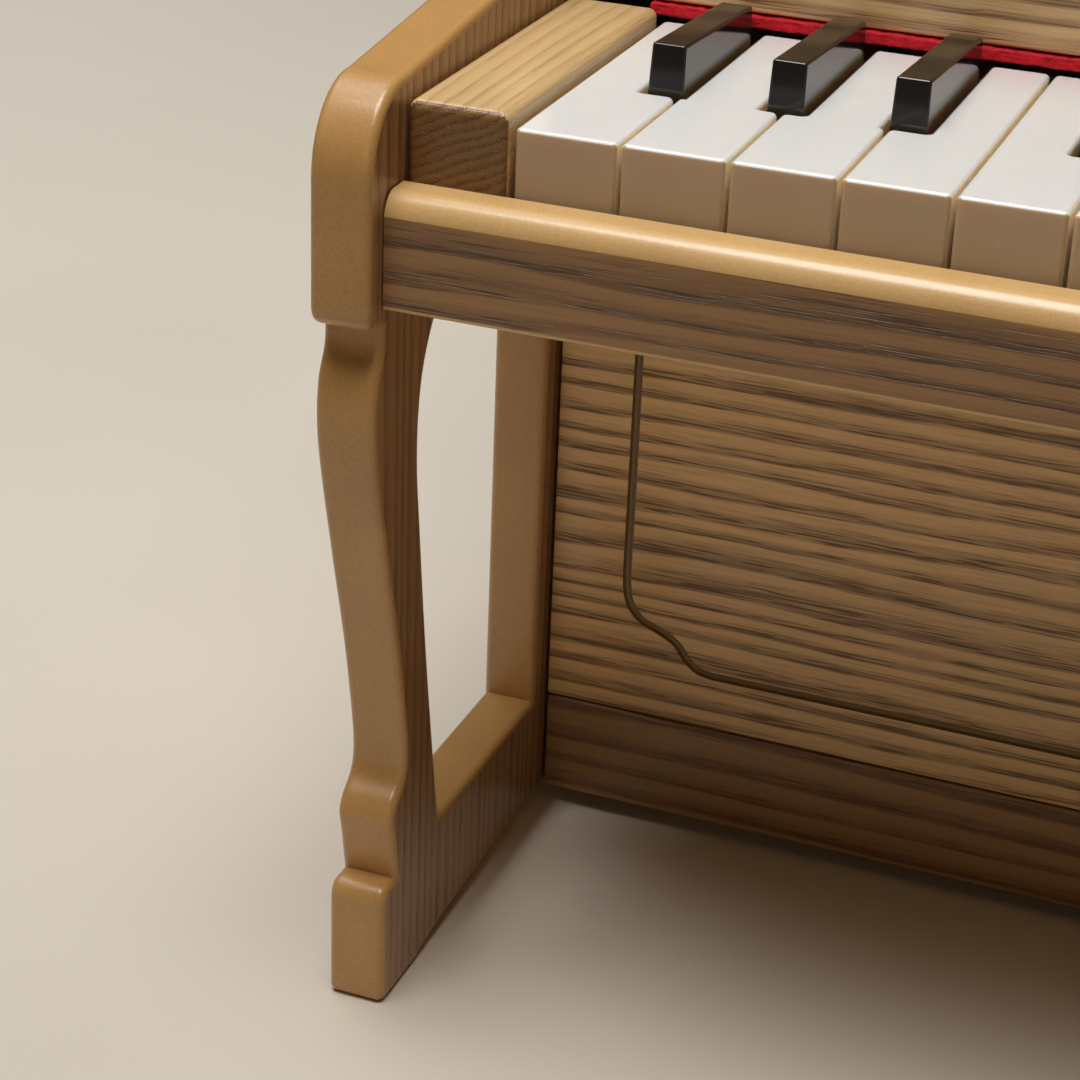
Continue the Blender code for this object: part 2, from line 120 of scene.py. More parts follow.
def sums(tree, operation, first, second=0.0, third=0.0):
    return node(tree, "Math", {0: first, 1: second, 2: third}, operation=operation).outputs[0]


def ramp(tree, value, *stops):
    """Turns a value into a grey or a colour by way of (position, colour) stops."""
    made = node(tree, "ValToRGB", {0: value})
    elements = made.color_ramp.elements
    for element, (at, colour) in zip((elements[0], elements[1]), (stops[0], stops[-1])):
        element.position = at
        element.color = (*colour, 1.0) if isinstance(colour, tuple) else (colour, colour, colour, 1.0)
    for at, colour in stops[1:-1]:
        element = elements.new(at)
        element.color = (*colour, 1.0) if isinstance(colour, tuple) else (colour, colour, colour, 1.0)
    return made.outputs[0]


def mixed(tree, share, first, second, mode="MIX"):
    """One colour laid over another; a colour is a socket or three numbers."""
    first, second = [c if isinstance(c, bpy.types.NodeSocket) else (*c, 1.0) for c in (first, second)]
    made = node(tree, "Mix", data_type="RGBA", blend_type=mode)
    for socket, value in ((0, share), (6, first), (7, second)):
        if isinstance(value, bpy.types.NodeSocket):
            tree.links.new(value, made.inputs[socket])
        else:
            made.inputs[socket].default_value = value
    return made.outputs[2]


def bumped(tree, shader, height, metres, strength=1.0):
    relief = node(tree, "Bump", {"Height": height, "Distance": metres, "Strength": strength})
    tree.links.new(relief.outputs[0], shader.inputs["Normal"])


def softbox(name, position, target, wide, tall, watts, colour):
    light = bpy.data.lights.new(name, "AREA")
    light.shape = "RECTANGLE"
    light.size, light.size_y = wide, tall
    light.energy = watts
    light.color = colour
    made = bpy.data.objects.new(name, light)
    made.location = position
    made.rotation_euler = (Vector(target) - Vector(position)).to_track_quat("-Z", "Y").to_euler()
    bpy.context.scene.collection.objects.link(made)
    return made


FLOOR_SIZE = 8.0
floor_paint, tree, shader = new_material("pale_floor_paint", 0.7)
mottle = noise(tree, place(tree), 6.0)
paint_colour = ramp(tree, mottle, (0.3, (0.72, 0.65, 0.55)), (0.7, (0.75, 0.68, 0.58)))
tree.links.new(paint_colour, shader.inputs["Base Color"])
bm = bmesh.new()
bmesh.ops.create_grid(bm, x_segments=1, y_segments=1, size=FLOOR_SIZE / 2)
mesh = bpy.data.meshes.new("floor")
bm.to_mesh(mesh)
bm.free()
mesh.materials.append(floor_paint)
floor = bpy.data.objects.new("floor", mesh)
bpy.context.scene.collection.objects.link(floor)

middle = (cad_low + cad_high) / 2
softbox("overhead_softbox", (-0.2, -0.2, 0.85), (-0.1, -0.05, 0.18), 0.4, 0.4, 5.7, (1.0, 0.985, 0.96))
softbox("front_softbox", (0.1, -2.0, 0.7), middle, 0.8, 0.8, 2.0, (1.0, 0.64, 0.32))
wash = softbox("floor_wash", (-1.0, 0.5, 1.3), (-0.85, 0.45, 0.0), 0.9, 0.9, 2.6, (0.96, 0.98, 1.0))
wash.data.spread = math.radians(75)
softbox("rear_softbox", (0.5, 1.7, 1.1), middle, 0.9, 0.9, 7.0, (1.0, 0.95, 0.88))
bpy.context.scene.view_settings.view_transform = "Standard"
room = bpy.data.worlds.new("room")
room.use_nodes = True
room.node_tree.nodes["Background"].inputs["Color"].default_value = (0.9, 0.94, 1.0, 1.0)
room.node_tree.nodes["Background"].inputs["Strength"].default_value = 0.02
bpy.context.scene.world = room


# ---------------------------------------------------------------- side boards
# Each end of the case is one board with an arm, a shaped front leg, a foot and an opening, sawn
# from 11.6 mm board. Its faces carry ash veneer, and its rounded edge is sanded and toned honey.
KEY_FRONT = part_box("key_f_1")[0].y
BOARD_LOW, BOARD_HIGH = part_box("side_board_left")
BACK = BOARD_HIGH.y - KEY_FRONT
ARM_REACH = KEY_FRONT - BOARD_LOW.y
INNER_X = -BOARD_HIGH.x
CASE_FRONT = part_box("name_board")[0].y - KEY_FRONT
EDGE_ROUND = 0.0016
FOOT_RELIEF = 0.0034
OPENING_TOP = 0.146
OPENING_BACK = 0.073
TOE_TOP = 0.0286


def through(points, steps=8):
    """A smooth curve through the given points, without its last point."""
    path = [Vector(p) for p in points]
    path = [2 * path[0] - path[1]] + path + [2 * path[-1] - path[-2]]
    curve = []
    for before, start, end, after in zip(path, path[1:], path[2:], path[3:]):
        for step in range(steps):
            t = step / steps
            bend = (2 * before - 5 * start + 4 * end - after) * t**2
            twist = (3 * start - before - 3 * end + after) * t**3
            curve.append(tuple(0.5 * (2 * start + (end - before) * t + bend + twist)))
    return curve


def quarter(centre, radii, start, turn, steps=12):
    """A quarter of an ellipse: start is its first angle in degrees, turn is +1 or -1."""
    angles = [math.radians(start + turn * 90 * i / steps) for i in range(steps + 1)]
    return [(centre[0] + radii[0] * math.cos(a), centre[1] + radii[1] * math.sin(a)) for a in angles]


def board_outline():
    """Arm, shaped front leg, foot, arched base, back edge and top, seen from the side."""
    upper_front = CASE_FRONT - 0.006
    leg = (
        (-0.0095, 0.1450),
        (-0.0100, 0.1405),
        (-0.0124, 0.1350),
        (-0.0131, 0.1270),
        (-0.0115, 0.1165),
        (-0.0064, 0.0965),
        (-0.0012, 0.0770),
        (0.0022, 0.0610),
        (0.0035, 0.0515),
        (0.0023, 0.0468),
        (-0.0012, 0.0436),
        (-0.0029, 0.0402),
        (-0.0019, 0.0350),
        (-0.0003, 0.0266),
    )
    rear_foot = BACK - 0.028
    outline = quarter((upper_front - 0.0215, 0.2190), (0.0215, 0.0242), 0, -1)[:-1]
    outline += [(0.0520, 0.1947), (0.0, 0.1889)]
    outline += quarter((-0.001, 0.1724), (ARM_REACH - 0.001, 0.0165), 90, 1, 18)
    outline += quarter((-0.0127, 0.1494), (0.0028, 0.0034), 180, 1, 6)
    outline += through(leg, 7)
    outline += [(-0.0002, 0.0262)]
    outline += quarter((-0.0030, 0.0228), (0.0034, 0.0034), 90, 1, 10)
    outline += quarter((-0.0044, 0.0020), (0.0020, 0.0020), 180, 1, 6)
    outline += quarter((0.080, 0.0), (0.068, FOOT_RELIEF), 180, -1)
    outline += quarter((rear_foot - 0.068, 0.0), (0.068, FOOT_RELIEF), 90, -1)
    return outline + [(BACK, 0.0), (BACK, BOARD_HIGH.z), (upper_front, BOARD_HIGH.z)]


def opening_outline():
    leg_back = (
        (0.0216, TOE_TOP),
        (0.0181, 0.0468),
        (0.0135, 0.0728),
        (0.0098, 0.0980),
        (0.0079, 0.1132),
        (0.0086, 0.1260),
        (0.0118, 0.1350),
        (0.0175, 0.1418),
        (0.0280, OPENING_TOP),
    )
    corners = [(0.0280, OPENING_TOP), (OPENING_BACK, OPENING_TOP), (OPENING_BACK, TOE_TOP)]
    return through(leg_back, 6) + corners


def sawn(loops, low, high, rounding):
    """A board sawn to a side view with holes, with rounded edges, as a mesh to build on."""
    curve = bpy.data.curves.new("saw_line", "CURVE")
    curve.dimensions = "2D"
    curve.fill_mode = "BOTH"
    curve.extrude = (high - low) / 2 - rounding
    curve.bevel_depth = rounding
    curve.bevel_resolution = 3
    curve.offset = -rounding
    for loop in loops:
        spline = curve.splines.new("POLY")
        spline.points.add(len(loop) - 1)
        spline.use_cyclic_u = True
        for point, (a, b) in zip(spline.points, loop):
            point.co = (a, b, 0.0, 1.0)
    shape = bpy.data.objects.new("saw_line", curve)
    bpy.context.scene.collection.objects.link(shape)
    bpy.context.view_layer.update()
    cut = bpy.data.meshes.new_from_object(shape.evaluated_get(bpy.context.evaluated_depsgraph_get()))
    bpy.data.objects.remove(shape)
    bm = bmesh.new()
    bm.from_mesh(cut)
    bmesh.ops.remove_doubles(bm, verts=bm.verts, dist=1e-6)
    upright = Matrix(((0, 0, 1), (1, 0, 0), (0, 1, 0))).to_4x4()
    stand = Matrix.Translation(((low + high) / 2, KEY_FRONT, 0)) @ upright
    bmesh.ops.transform(bm, matrix=stand, verts=bm.verts)
    return bm


def piece(name, bm, body, paints, nodes=(), crease=35.0):
    """Turns a finished mesh into a piece that rides on a body and stands for the nodes it shows."""
    mesh = bpy.data.meshes.new(name)
    bm.to_mesh(mesh)
    bm.free()
    for paint in paints:
        mesh.materials.append(paint)
    mesh.shade_smooth()
    mesh.set_sharp_from_angle(angle=math.radians(crease))
    made = bpy.data.objects.new(name, mesh)
    bpy.context.scene.collection.objects.link(made)
    made.modifiers.new("flat_faces", "WEIGHTED_NORMAL").keep_sharp = True
    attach(made, body)
    if nodes:
        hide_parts(*nodes)
    return made


def stretched(grain, along, across):
    """Scales that draw a pattern out along the grain."""
    return [along if axis == grain else across for axis in "XYZ"]


def veneer(name, pale, dark, grain, rise, ring=0.0045, wander=0.003, pores=0.6, coat=0.3, shift=0.0):
    """Open-grained ash under satin lacquer. rise is the direction in which the rings follow each other."""
    made, tree, shader = new_material(name, 0.36, coat, 0.2)
    bends = noise(tree, place(tree, stretched(grain, 7, 34), shift), 1.0, 2.0)
    drift = noise(tree, place(tree, stretched(grain, 1.5, 90), shift + 3), 1.0, 1.0)
    level = node(tree, "VectorMath", {0: place(tree), 1: rise}, operation="DOT_PRODUCT").outputs[1]
    level = sums(tree, "MULTIPLY_ADD", bends, 2 * wander, level)
    level = sums(tree, "MULTIPLY_ADD", drift, 1.6 * ring, level)
    season = sums(tree, "FRACT", sums(tree, "DIVIDE", level, ring))
    early = ramp(tree, season, (0.0, 0.35), (0.12, 1.0), (0.38, 0.6), (0.62, 0.1), (1.0, 0.0))
    fibre = noise(tree, place(tree, stretched(grain, 26, 800), shift), 1.0, 3.0, 0.65)
    streak = noise(tree, place(tree, stretched(grain, 70, 2300), shift + 7), 1.0, 1.5)
    pore = ramp(tree, streak, (0.53, 0.0), (0.62, 1.0))
    pore = sums(tree, "MULTIPLY", pore, sums(tree, "MULTIPLY_ADD", early, 0.85, 0.15))
    shade = sums(tree, "MULTIPLY", early, sums(tree, "MULTIPLY", fibre, 1.5))
    shade = sums(tree, "MULTIPLY_ADD", pore, pores, shade)
    shade = sums(tree, "ADD", shade, sums(tree, "MULTIPLY_ADD", fibre, 0.5, -0.25))
    colour = mixed(tree, node(tree, "Clamp", {0: shade}).outputs[0], pale, dark)
    tone = noise(tree, place(tree, stretched(grain, 5, 20), shift + 11), 1.0, 2.0)
    colour = mixed(tree, 1.0, colour, ramp(tree, tone, (0.3, 0.84), (0.7, 1.0)), "MULTIPLY")
    tree.links.new(colour, shader.inputs["Base Color"])
    tree.links.new(ramp(tree, pore, (0.0, 0.34), (1.0, 0.55)), shader.inputs["Roughness"])
    relief = sums(tree, "MULTIPLY_ADD", pore, -1.0, sums(tree, "MULTIPLY", fibre, 0.35))
    bumped(tree, shader, relief, 0.00012)
    return made


def toned_edge(name, pale, dark, coat=0.35, shift=0.0):
    """A sanded board edge under honey toner, which dries in fine specks."""
    made, tree, shader = new_material(name, 0.38, coat, 0.2)
    cloud = noise(tree, place(tree, shift=shift), 55.0, 2.0)
    speck = noise(tree, place(tree, shift=shift), 2200.0, 2.0, 0.6)
    share = sums(tree, "MULTIPLY_ADD", cloud, 0.55, sums(tree, "MULTIPLY_ADD", speck, 1.1, -0.45))
    colour = mixed(tree, node(tree, "Clamp", {0: share}).outputs[0], pale, dark)
    tree.links.new(colour, shader.inputs["Base Color"])
    tree.links.new(ramp(tree, speck, (0.3, 0.32), (0.7, 0.44)), shader.inputs["Roughness"])
    bumped(tree, shader, speck, 0.00003)
    return made


HONEY = (0.56, 0.315, 0.105)
HONEY_DARK = (0.36, 0.18, 0.052)
board_edge = toned_edge("honey_toned_edge", HONEY, HONEY_DARK)
board_face = veneer(
    "upright_ash_veneer",
    pale=(0.42, 0.22, 0.085),
    dark=(0.20, 0.09, 0.03),
    grain="Z",
    rise=(0.2, 0.9, 0.0),
    ring=0.0032,
    wander=0.002,
    pores=0.35,
)
BOARD_T = BOARD_HIGH.x - BOARD_LOW.x
for name, low in (("side_board_left", -INNER_X - BOARD_T), ("side_board_right", INNER_X)):
    bm = sawn([board_outline(), opening_outline()], low, low + BOARD_T, EDGE_ROUND)
    for face in bm.faces:
        face.material_index = 1 if abs(face.normal.x) > 0.99 else 0
    piece(name + "_veneered", bm, "case", [board_edge, board_face], [name])


# ---------------------------------------------------------------- lower panel and plinth
# The front of the case below the keys is a panel of flat-sawn ash veneer with a routed line, and
# a plinth rail stands under it. Both are glued between the side boards with a narrow gap.
PANEL_LOW, PANEL_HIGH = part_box("lower_panel")
PLINTH_LOW, PLINTH_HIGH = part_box("plinth_rail")
SLIP_LOW, SLIP_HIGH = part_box("key_slip")
GROOVE_R = 0.001
GROOVE_INSET = 0.0179
GROOVE_LOW = 0.0405
PANEL_ROUND = 0.0004


def rounded(bm, edges, radius, segments):
    bmesh.ops.bevel(bm, geom=edges, offset=radius, segments=segments, profile=0.5, affect="EDGES")


def prism(bm, outline, low, high, across, rounding=0.0, segments=3, paint=0):
    """Adds an outline with thickness; depths (Y) count from the front ends of the keys."""
    order = {"X": (2, 0, 1), "Y": (0, 2, 1), "Z": (0, 1, 2)}[across]
    rings = []
    for level in (low, high):
        corners = [(a, b, level) for a, b in outline]
        rings.append([bm.verts.new([corner[i] for i in order]) for corner in corners])
    for vert in rings[0] + rings[1]:
        vert.co.y += KEY_FRONT
    faces = [bm.faces.new(rings[0][::-1]), bm.faces.new(rings[1])]
    for i, start in enumerate(rings[0]):
        j = (i + 1) % len(outline)
        faces.append(bm.faces.new((start, rings[0][j], rings[1][j], rings[1][i])))
    for face in faces:
        face.material_index = paint
    bmesh.ops.recalc_face_normals(bm, faces=faces)
    if rounding:
        edges = {edge for face in faces for edge in face.edges if edge.calc_face_angle() > 0.5}
        rounded(bm, list(edges), rounding, segments)


def block(bm, low, high, rounding=0.0, segments=3, paint=0):
    """Adds a block between two corners, given in the frame's own coordinates."""
    front, back = low[1] - KEY_FRONT, high[1] - KEY_FRONT
    outline = [(low[0], front), (high[0], front), (high[0], back), (low[0], back)]
    prism(bm, outline, low[2], high[2], "Z", rounding, segments, paint)


def groove_path():
    """Half of the routed line, from its bottom middle to its top middle."""
    side = INNER_X - GROOVE_INSET
    low = GROOVE_LOW
    high = PLINTH_HIGH.z + SLIP_LOW.z - GROOVE_LOW
    corner = (
        (side - 0.0205, low),
        (side - 0.0172, low + 0.0006),
        (side - 0.0146, low + 0.0026),
        (side - 0.0119, low + 0.0060),
        (side - 0.0080, low + 0.0082),
        (side - 0.0038, low + 0.0100),
        (side - 0.0010, low + 0.0134),
        (side, low + 0.0190),
        (side, low + 0.0300),
    )
    curve = through(corner, 6)
    return curve + [(x, low + high - z) for x, z in reversed(curve)]


def cut_groove(panel):
    """Routs the line into the panel with a round-nosed cutter."""
    half = groove_path()
    path = half + [(-x, z) for x, z in reversed(half)]
    cutter = bpy.data.curves.new("cutter", "CURVE")
    cutter.dimensions = "3D"
    cutter.bevel_depth = GROOVE_R
    cutter.bevel_resolution = 3
    spline = cutter.splines.new("POLY")
    spline.points.add(len(path) - 1)
    spline.use_cyclic_u = True
    for point, (x, z) in zip(spline.points, path):
        point.co = (x, PANEL_LOW.y, z, 1.0)
    shape = bpy.data.objects.new("cutter", cutter)
    bpy.context.scene.collection.objects.link(shape)
    bpy.context.view_layer.update()
    tube = bpy.data.meshes.new_from_object(shape.evaluated_get(bpy.context.evaluated_depsgraph_get()))
    bpy.data.objects.remove(shape)
    tool = bpy.data.objects.new("cutter", tube)
    bpy.context.scene.collection.objects.link(tool)
    # The cutter's paint passes to the groove's faces: dark toner, darkened further as painted shade in the
    # recess.
    tube.materials.append(routed_line_toner_and_painted_shade)
    cut = panel.modifiers.new("routed_line", "BOOLEAN")
    cut.operation = "DIFFERENCE"
    cut.material_mode = "TRANSFER"
    cut.object = tool
    bpy.context.view_layer.update()
    routed = bpy.data.meshes.new_from_object(panel.evaluated_get(bpy.context.evaluated_depsgraph_get()))
    panel.modifiers.clear()
    panel.data = routed
    bpy.data.objects.remove(tool)
    routed.set_sharp_from_angle(angle=math.radians(35))
    panel.modifiers.new("flat_faces", "WEIGHTED_NORMAL").keep_sharp = True


panel_face = veneer(
    "flat_sawn_ash_veneer",
    pale=(0.82, 0.53, 0.235),
    dark=(0.21, 0.105, 0.036),
    grain="X",
    rise=(0.0, 0.4, 1.0),
    ring=0.0052,
    wander=0.0052,
    pores=0.7,
    coat=0.25,
)
# Dark toner for the routed line, made darker still as painted shade in the recess.
routed_line_toner_and_painted_shade = toned_edge("routed_line_toner_with_painted_shade", (0.25, 0.15, 0.05), (0.14, 0.078, 0.023), 0.2, 6.0)
plinth_face = veneer(
    "plinth_ash_veneer",
    pale=(0.36, 0.205, 0.085),
    dark=(0.14, 0.062, 0.024),
    grain="X",
    rise=(0.0, 0.3, 1.0),
    ring=0.006,
    wander=0.002,
    pores=0.4,
    coat=0.25,
    shift=5.0,
)
bm = bmesh.new()
block(bm, PANEL_LOW, PANEL_HIGH, PANEL_ROUND, 2)
cut_groove(piece("lower_panel_routed", bm, "case", [panel_face], ["lower_panel"]))
bm = bmesh.new()
block(bm, PLINTH_LOW, PLINTH_HIGH, 0.0006, 3)
piece("plinth_rail_veneered", bm, "case", [plinth_face], ["plinth_rail"])


# ---------------------------------------------------------------- key bed and rails
# Inside, the keys stand on a beech bed: felt under their fronts, a brass rod through them on the
# balance rail, and a rail with felt under their tails. The bottom and back boards are birch ply.
RAW_PALE = (0.62, 0.46, 0.27)
RAW_DARK = (0.44, 0.29, 0.15)


def raw_wood(name, grain, rise, shift=0.0):
    return veneer(
        name,
        pale=RAW_PALE,
        dark=RAW_DARK,
        grain=grain,
        rise=rise,
        ring=0.0024,
        wander=0.002,
        pores=0.25,
        coat=0.0,
        shift=shift,
    )


def repaint(node_name, paint):
    shown = frame["nodes"][node_name].data.materials
    shown.clear()
    shown.append(paint)


beech = raw_wood("unfinished_beech", "X", (0.0, 1.0, 0.6))
birch_ply = raw_wood("birch_plywood", "X", (0.0, 0.3, 1.0), 9.0)
for name in ("key_bed", "balance_rail", "back_rail", "pipe_rail_front", "pipe_rail_back"):
    repaint(name, beech)
for name in ("bottom_board", "back_panel"):
    repaint(name, birch_ply)

brass, tree, shader = new_material("drawn_brass", 0.28)
lines = noise(tree, place(tree, (20, 1500, 1500)), 1.0, 2.0)
brass_colour = ramp(tree, lines, (0.3, (0.70, 0.47, 0.17)), (0.7, (0.86, 0.62, 0.27)))
tree.links.new(brass_colour, shader.inputs["Base Color"])
tree.links.new(ramp(tree, lines, (0.3, 0.22), (0.7, 0.36)), shader.inputs["Roughness"])
shader.inputs["Metallic"].default_value = 1.0
repaint("pivot_rod", brass)


def felt(name, bright, deep):
    """Pressed wool felt: a soft nap with tufts, and a sheen from its loose fibres."""
    made, tree, shader = new_material(name, 0.95)
    shader.inputs["Sheen Weight"].default_value = 0.12
    shader.inputs["Sheen Roughness"].default_value = 0.6
    shader.inputs["Sheen Tint"].default_value = (1.0, 0.55, 0.5, 1.0)
    tuft = noise(tree, place(tree, (700, 1100, 1100)), 1.0, 4.0, 0.7)
    tree.links.new(ramp(tree, tuft, (0.32, deep), (0.66, bright)), shader.inputs["Base Color"])
    bumped(tree, shader, tuft, 0.0006)
    return made


TUFT_PITCH = 0.0012
CUT_END = 0.001
red_felt = felt("red_wool_felt", (0.90, 0.006, 0.03), (0.40, 0.001, 0.008))


def felt_strip(name, node_name, nap=0.00012):
    """A strip cut from felt sheet, with soft edges and a slightly uneven face."""
    low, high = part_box(node_name)
    bm = bmesh.new()
    block(bm, low, high, 0.0004, 3)
    steps = int((high.x - low.x) / TUFT_PITCH)
    for i in range(1, steps):
        x = low.x + (high.x - low.x) * i / steps
        everything = bm.verts[:] + bm.edges[:] + bm.faces[:]
        bmesh.ops.bisect_plane(bm, geom=everything, plane_co=(x, 0, 0), plane_no=(1, 0, 0))
    rng = np.random.default_rng(7)
    for vert in bm.verts:
        if low.x + CUT_END < vert.co.x < high.x - CUT_END:
            vert.co -= vert.normal * nap * rng.random()
    made = piece(name, bm, "case", [red_felt], [node_name], 80.0)
    return made


felt_strip("front_rail_felt_strip", "front_rail_felt")
felt_strip("back_rail_felt_strip", "back_rail_felt")


# ---------------------------------------------------------------- keys
# Nineteen white and thirteen black keys: moulded glossy caps on spruce levers that turn on the
# brass rod. At the tail of each lever a felt-tipped hammer strikes its pipe from below. The fronts
# of the white caps carry painted shade, darker and tan with a painted reflection of the honey slip,
# and the walls between them a paler, yellower painted glow of light through the gaps.
KEYS = [joint["child"] for joint in frame["joints"] if joint["child"] != "lid"]
WHITE_DROP = 0.0155
KEY_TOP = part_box("key_f_1")[0].z + WHITE_DROP
WHITE_END = 0.0775
KEY_ROUND = 0.0008
CORNER_ROUND = 0.0012
NOTCH_FRONT = 0.0302
FIT = 0.0003
CAP_CLEAR = 0.0010
BLACK_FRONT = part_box("key_f_sharp_1")[0].y - KEY_FRONT
BLACK_END = 0.0735
BLACK_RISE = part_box("key_f_sharp_1")[1].z - KEY_TOP
BLACK_FALL = 0.0021
BLACK_TAPER = 0.90
BLACK_RAKE = 0.0012
BLACK_ROUND = 0.00055
STICK_WIDTHS = {"white": 0.0072, "black": 0.0056}
STICK_BOTTOM = KEY_TOP - 0.013
STICK_TOP = KEY_TOP - 0.004
ROD_LOW, ROD_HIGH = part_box("pivot_rod")
PIVOT = (ROD_LOW.y + ROD_HIGH.y) / 2 - KEY_FRONT
ROD_R = (ROD_HIGH.z - ROD_LOW.z) / 2
TAIL_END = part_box("key_f_1")[1].y - KEY_FRONT
HAMMER = TAIL_END - 0.006
HAMMER_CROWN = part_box("key_f_1")[1].z
TIP = 0.0012


def plastic(name, colour, shade, roughness, coat, glow=0.0):
    """Moulded plastic: nearly even colour, faint flow marks, and faint wipe marks in its gloss."""
    made, tree, shader = new_material(name, roughness, coat, 0.04)
    flow = noise(tree, place(tree), 90.0, 2.0)
    tree.links.new(ramp(tree, flow, (0.35, colour), (0.65, shade)), shader.inputs["Base Color"])
    wipe = noise(tree, place(tree, (260, 60, 260)), 1.0, 2.0)
    tree.links.new(ramp(tree, wipe, (0.3, roughness), (0.75, roughness * 1.25)), shader.inputs["Roughness"])
    shader.inputs["Subsurface Weight"].default_value = glow
    shader.inputs["Subsurface Radius"].default_value = (1.0, 0.7, 0.4)
    shader.inputs["Subsurface Scale"].default_value = 0.004
    bumped(tree, shader, noise(tree, place(tree), 250.0, 1.0), 0.000003)
    return made


white_plastic = plastic("white_key_plastic", (0.79, 0.79, 0.78), (0.78, 0.78, 0.77), 0.16, 0.4, 0.5)
# Painted shade: the white plastic darkened and tinted tan for the key fronts, with a painted reflection of
# the honey slip.
key_front_painted_shade = plastic("key_front_with_painted_shade", (0.53, 0.40, 0.26), (0.52, 0.39, 0.25), 0.22, 0.3, 0.6)
# Painted glow: the walls between the white keys are painted paler and yellower than the tops, for light
# passing through the gaps.
key_wall_painted_glow = plastic("key_wall_with_painted_glow", (0.90, 0.80, 0.64), (0.90, 0.80, 0.63), 0.35, 0.0, 0.9)
black_plastic = plastic("black_key_plastic", (0.011, 0.010, 0.010), (0.015, 0.013, 0.012), 0.10, 0.08)
lever_wood = raw_wood("spruce_lever", "Y", (1.0, 0.0, 0.5), 3.0)
tip_felt = felt("grey_hammer_felt", (0.34, 0.32, 0.30), (0.16, 0.15, 0.14))


def add_lever(bm, middle, front, width, paint):
    """The wooden lever with its slot for the rod, and the hammer with its felt tip."""
    notch = ROD_R + 0.0003
    notch_top = ROD_HIGH.z + 0.0004
    wood_crown = HAMMER_CROWN - TIP
    outline = [
        (front, STICK_BOTTOM),
        (PIVOT - notch, STICK_BOTTOM),
        (PIVOT - notch, notch_top),
        (PIVOT + notch, notch_top),
        (PIVOT + notch, STICK_BOTTOM),
        (TAIL_END, STICK_BOTTOM),
        (TAIL_END, STICK_TOP),
        (HAMMER + 0.0035, STICK_TOP),
        (HAMMER + 0.0025, wood_crown),
        (HAMMER - 0.0025, wood_crown),
        (HAMMER - 0.0035, STICK_TOP),
        (front, STICK_TOP),
    ]
    low, high = middle - width / 2, middle + width / 2
    prism(bm, outline, low, high, "X", 0.0003, 2, paint)
    tip = [(HAMMER - 0.0024, wood_crown), (HAMMER + 0.0024, wood_crown)]
    tip += quarter((HAMMER, HAMMER_CROWN - 0.0009), (0.0024, 0.0009), 0, 1, 5)
    tip += quarter((HAMMER, HAMMER_CROWN - 0.0009), (0.0024, 0.0009), 90, 1, 5)[1:]
    prism(bm, tip, low, high, "X", 0.0, 1, paint + 1)


def white_sides(name, before, after):
    """Where the body behind the notches begins and ends: beside the black caps, if there are any."""
    low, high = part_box(name)
    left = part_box(before)[1].x + CAP_CLEAR if before and "sharp" in before else low.x
    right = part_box(after)[0].x - CAP_CLEAR if after and "sharp" in after else high.x
    return left, right


def add_white_cap(bm, name, left, right):
    front_left, front_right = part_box(name)[0].x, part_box(name)[1].x
    outline = [(front_left, 0.0), (front_right, 0.0)]
    if right < front_right:
        outline += [(front_right, NOTCH_FRONT), (right, NOTCH_FRONT)]
    outline += [(right, WHITE_END), (left, WHITE_END)]
    if left > front_left:
        outline += [(left, NOTCH_FRONT), (front_left, NOTCH_FRONT)]
    prism(bm, outline, KEY_TOP - WHITE_DROP, KEY_TOP, "Z")
    room = 2 * CORNER_ROUND + KEY_ROUND
    soft = []
    for edge in bm.edges:
        first, second = edge.verts
        upright = abs(first.co.z - second.co.z) > WHITE_DROP / 2
        by_notch = abs(first.co.y - KEY_FRONT - NOTCH_FRONT) < FIT
        width = left - front_left if first.co.x < (left + right) / 2 else front_right - right
        if upright and first.co.y > KEY_FRONT + FIT and not (by_notch and width < room):
            soft.append(edge)
    rounded(bm, soft, CORNER_ROUND, 4)
    rim = [e for e in bm.edges if e.calc_face_angle() > 0.5]
    rounded(bm, rim, KEY_ROUND, 4)
    # Painted light by face: fronts (slot 3) get painted shade, the walls and other sides (slot 4) a painted
    # glow.
    for face in bm.faces:
        if face.normal.z < 0.55:
            face.material_index = 3 if face.normal.y < -0.5 else 4


def add_black_cap(bm, left, right):
    """Narrower at its crown, raked at the front, and lower towards its back."""
    bottom = STICK_TOP - 0.001
    outline = [(left, BLACK_FRONT), (right, BLACK_FRONT), (right, BLACK_END), (left, BLACK_END)]
    prism(bm, outline, bottom, KEY_TOP + BLACK_RISE, "Z")
    middle = (left + right) / 2
    for vert in bm.verts:
        if vert.co.z > KEY_TOP:
            vert.co.x = middle + (vert.co.x - middle) * BLACK_TAPER
            if vert.co.y < KEY_FRONT + BLACK_END - 0.001:
                vert.co.y += BLACK_RAKE
            else:
                vert.co.z -= BLACK_FALL
    rounded(bm, bm.edges[:], BLACK_ROUND, 5)


key_middles = []
for name, before, after in zip(KEYS, [None] + KEYS[:-1], KEYS[1:] + [None]):
    bm = bmesh.new()
    colour = "black" if "sharp" in name else "white"
    if colour == "white":
        left, right = white_sides(name, before, after)
        add_white_cap(bm, name, left, right)
        lever_front = WHITE_END - 0.0105
    else:
        left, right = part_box(name)[0].x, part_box(name)[1].x
        add_black_cap(bm, left, right)
        lever_front = BLACK_FRONT + 0.0015
    key_middles.append((left + right) / 2)
    add_lever(bm, key_middles[-1], lever_front, STICK_WIDTHS[colour], 1)
    cap_paint = white_plastic if colour == "white" else black_plastic
    # Slots 3 and 4 hold the painted shade of the fronts and the painted glow of the walls.
    paints = [cap_paint, lever_wood, tip_felt, key_front_painted_shade, key_wall_painted_glow]
    piece(name + "_capped", bm, name, paints, [name])


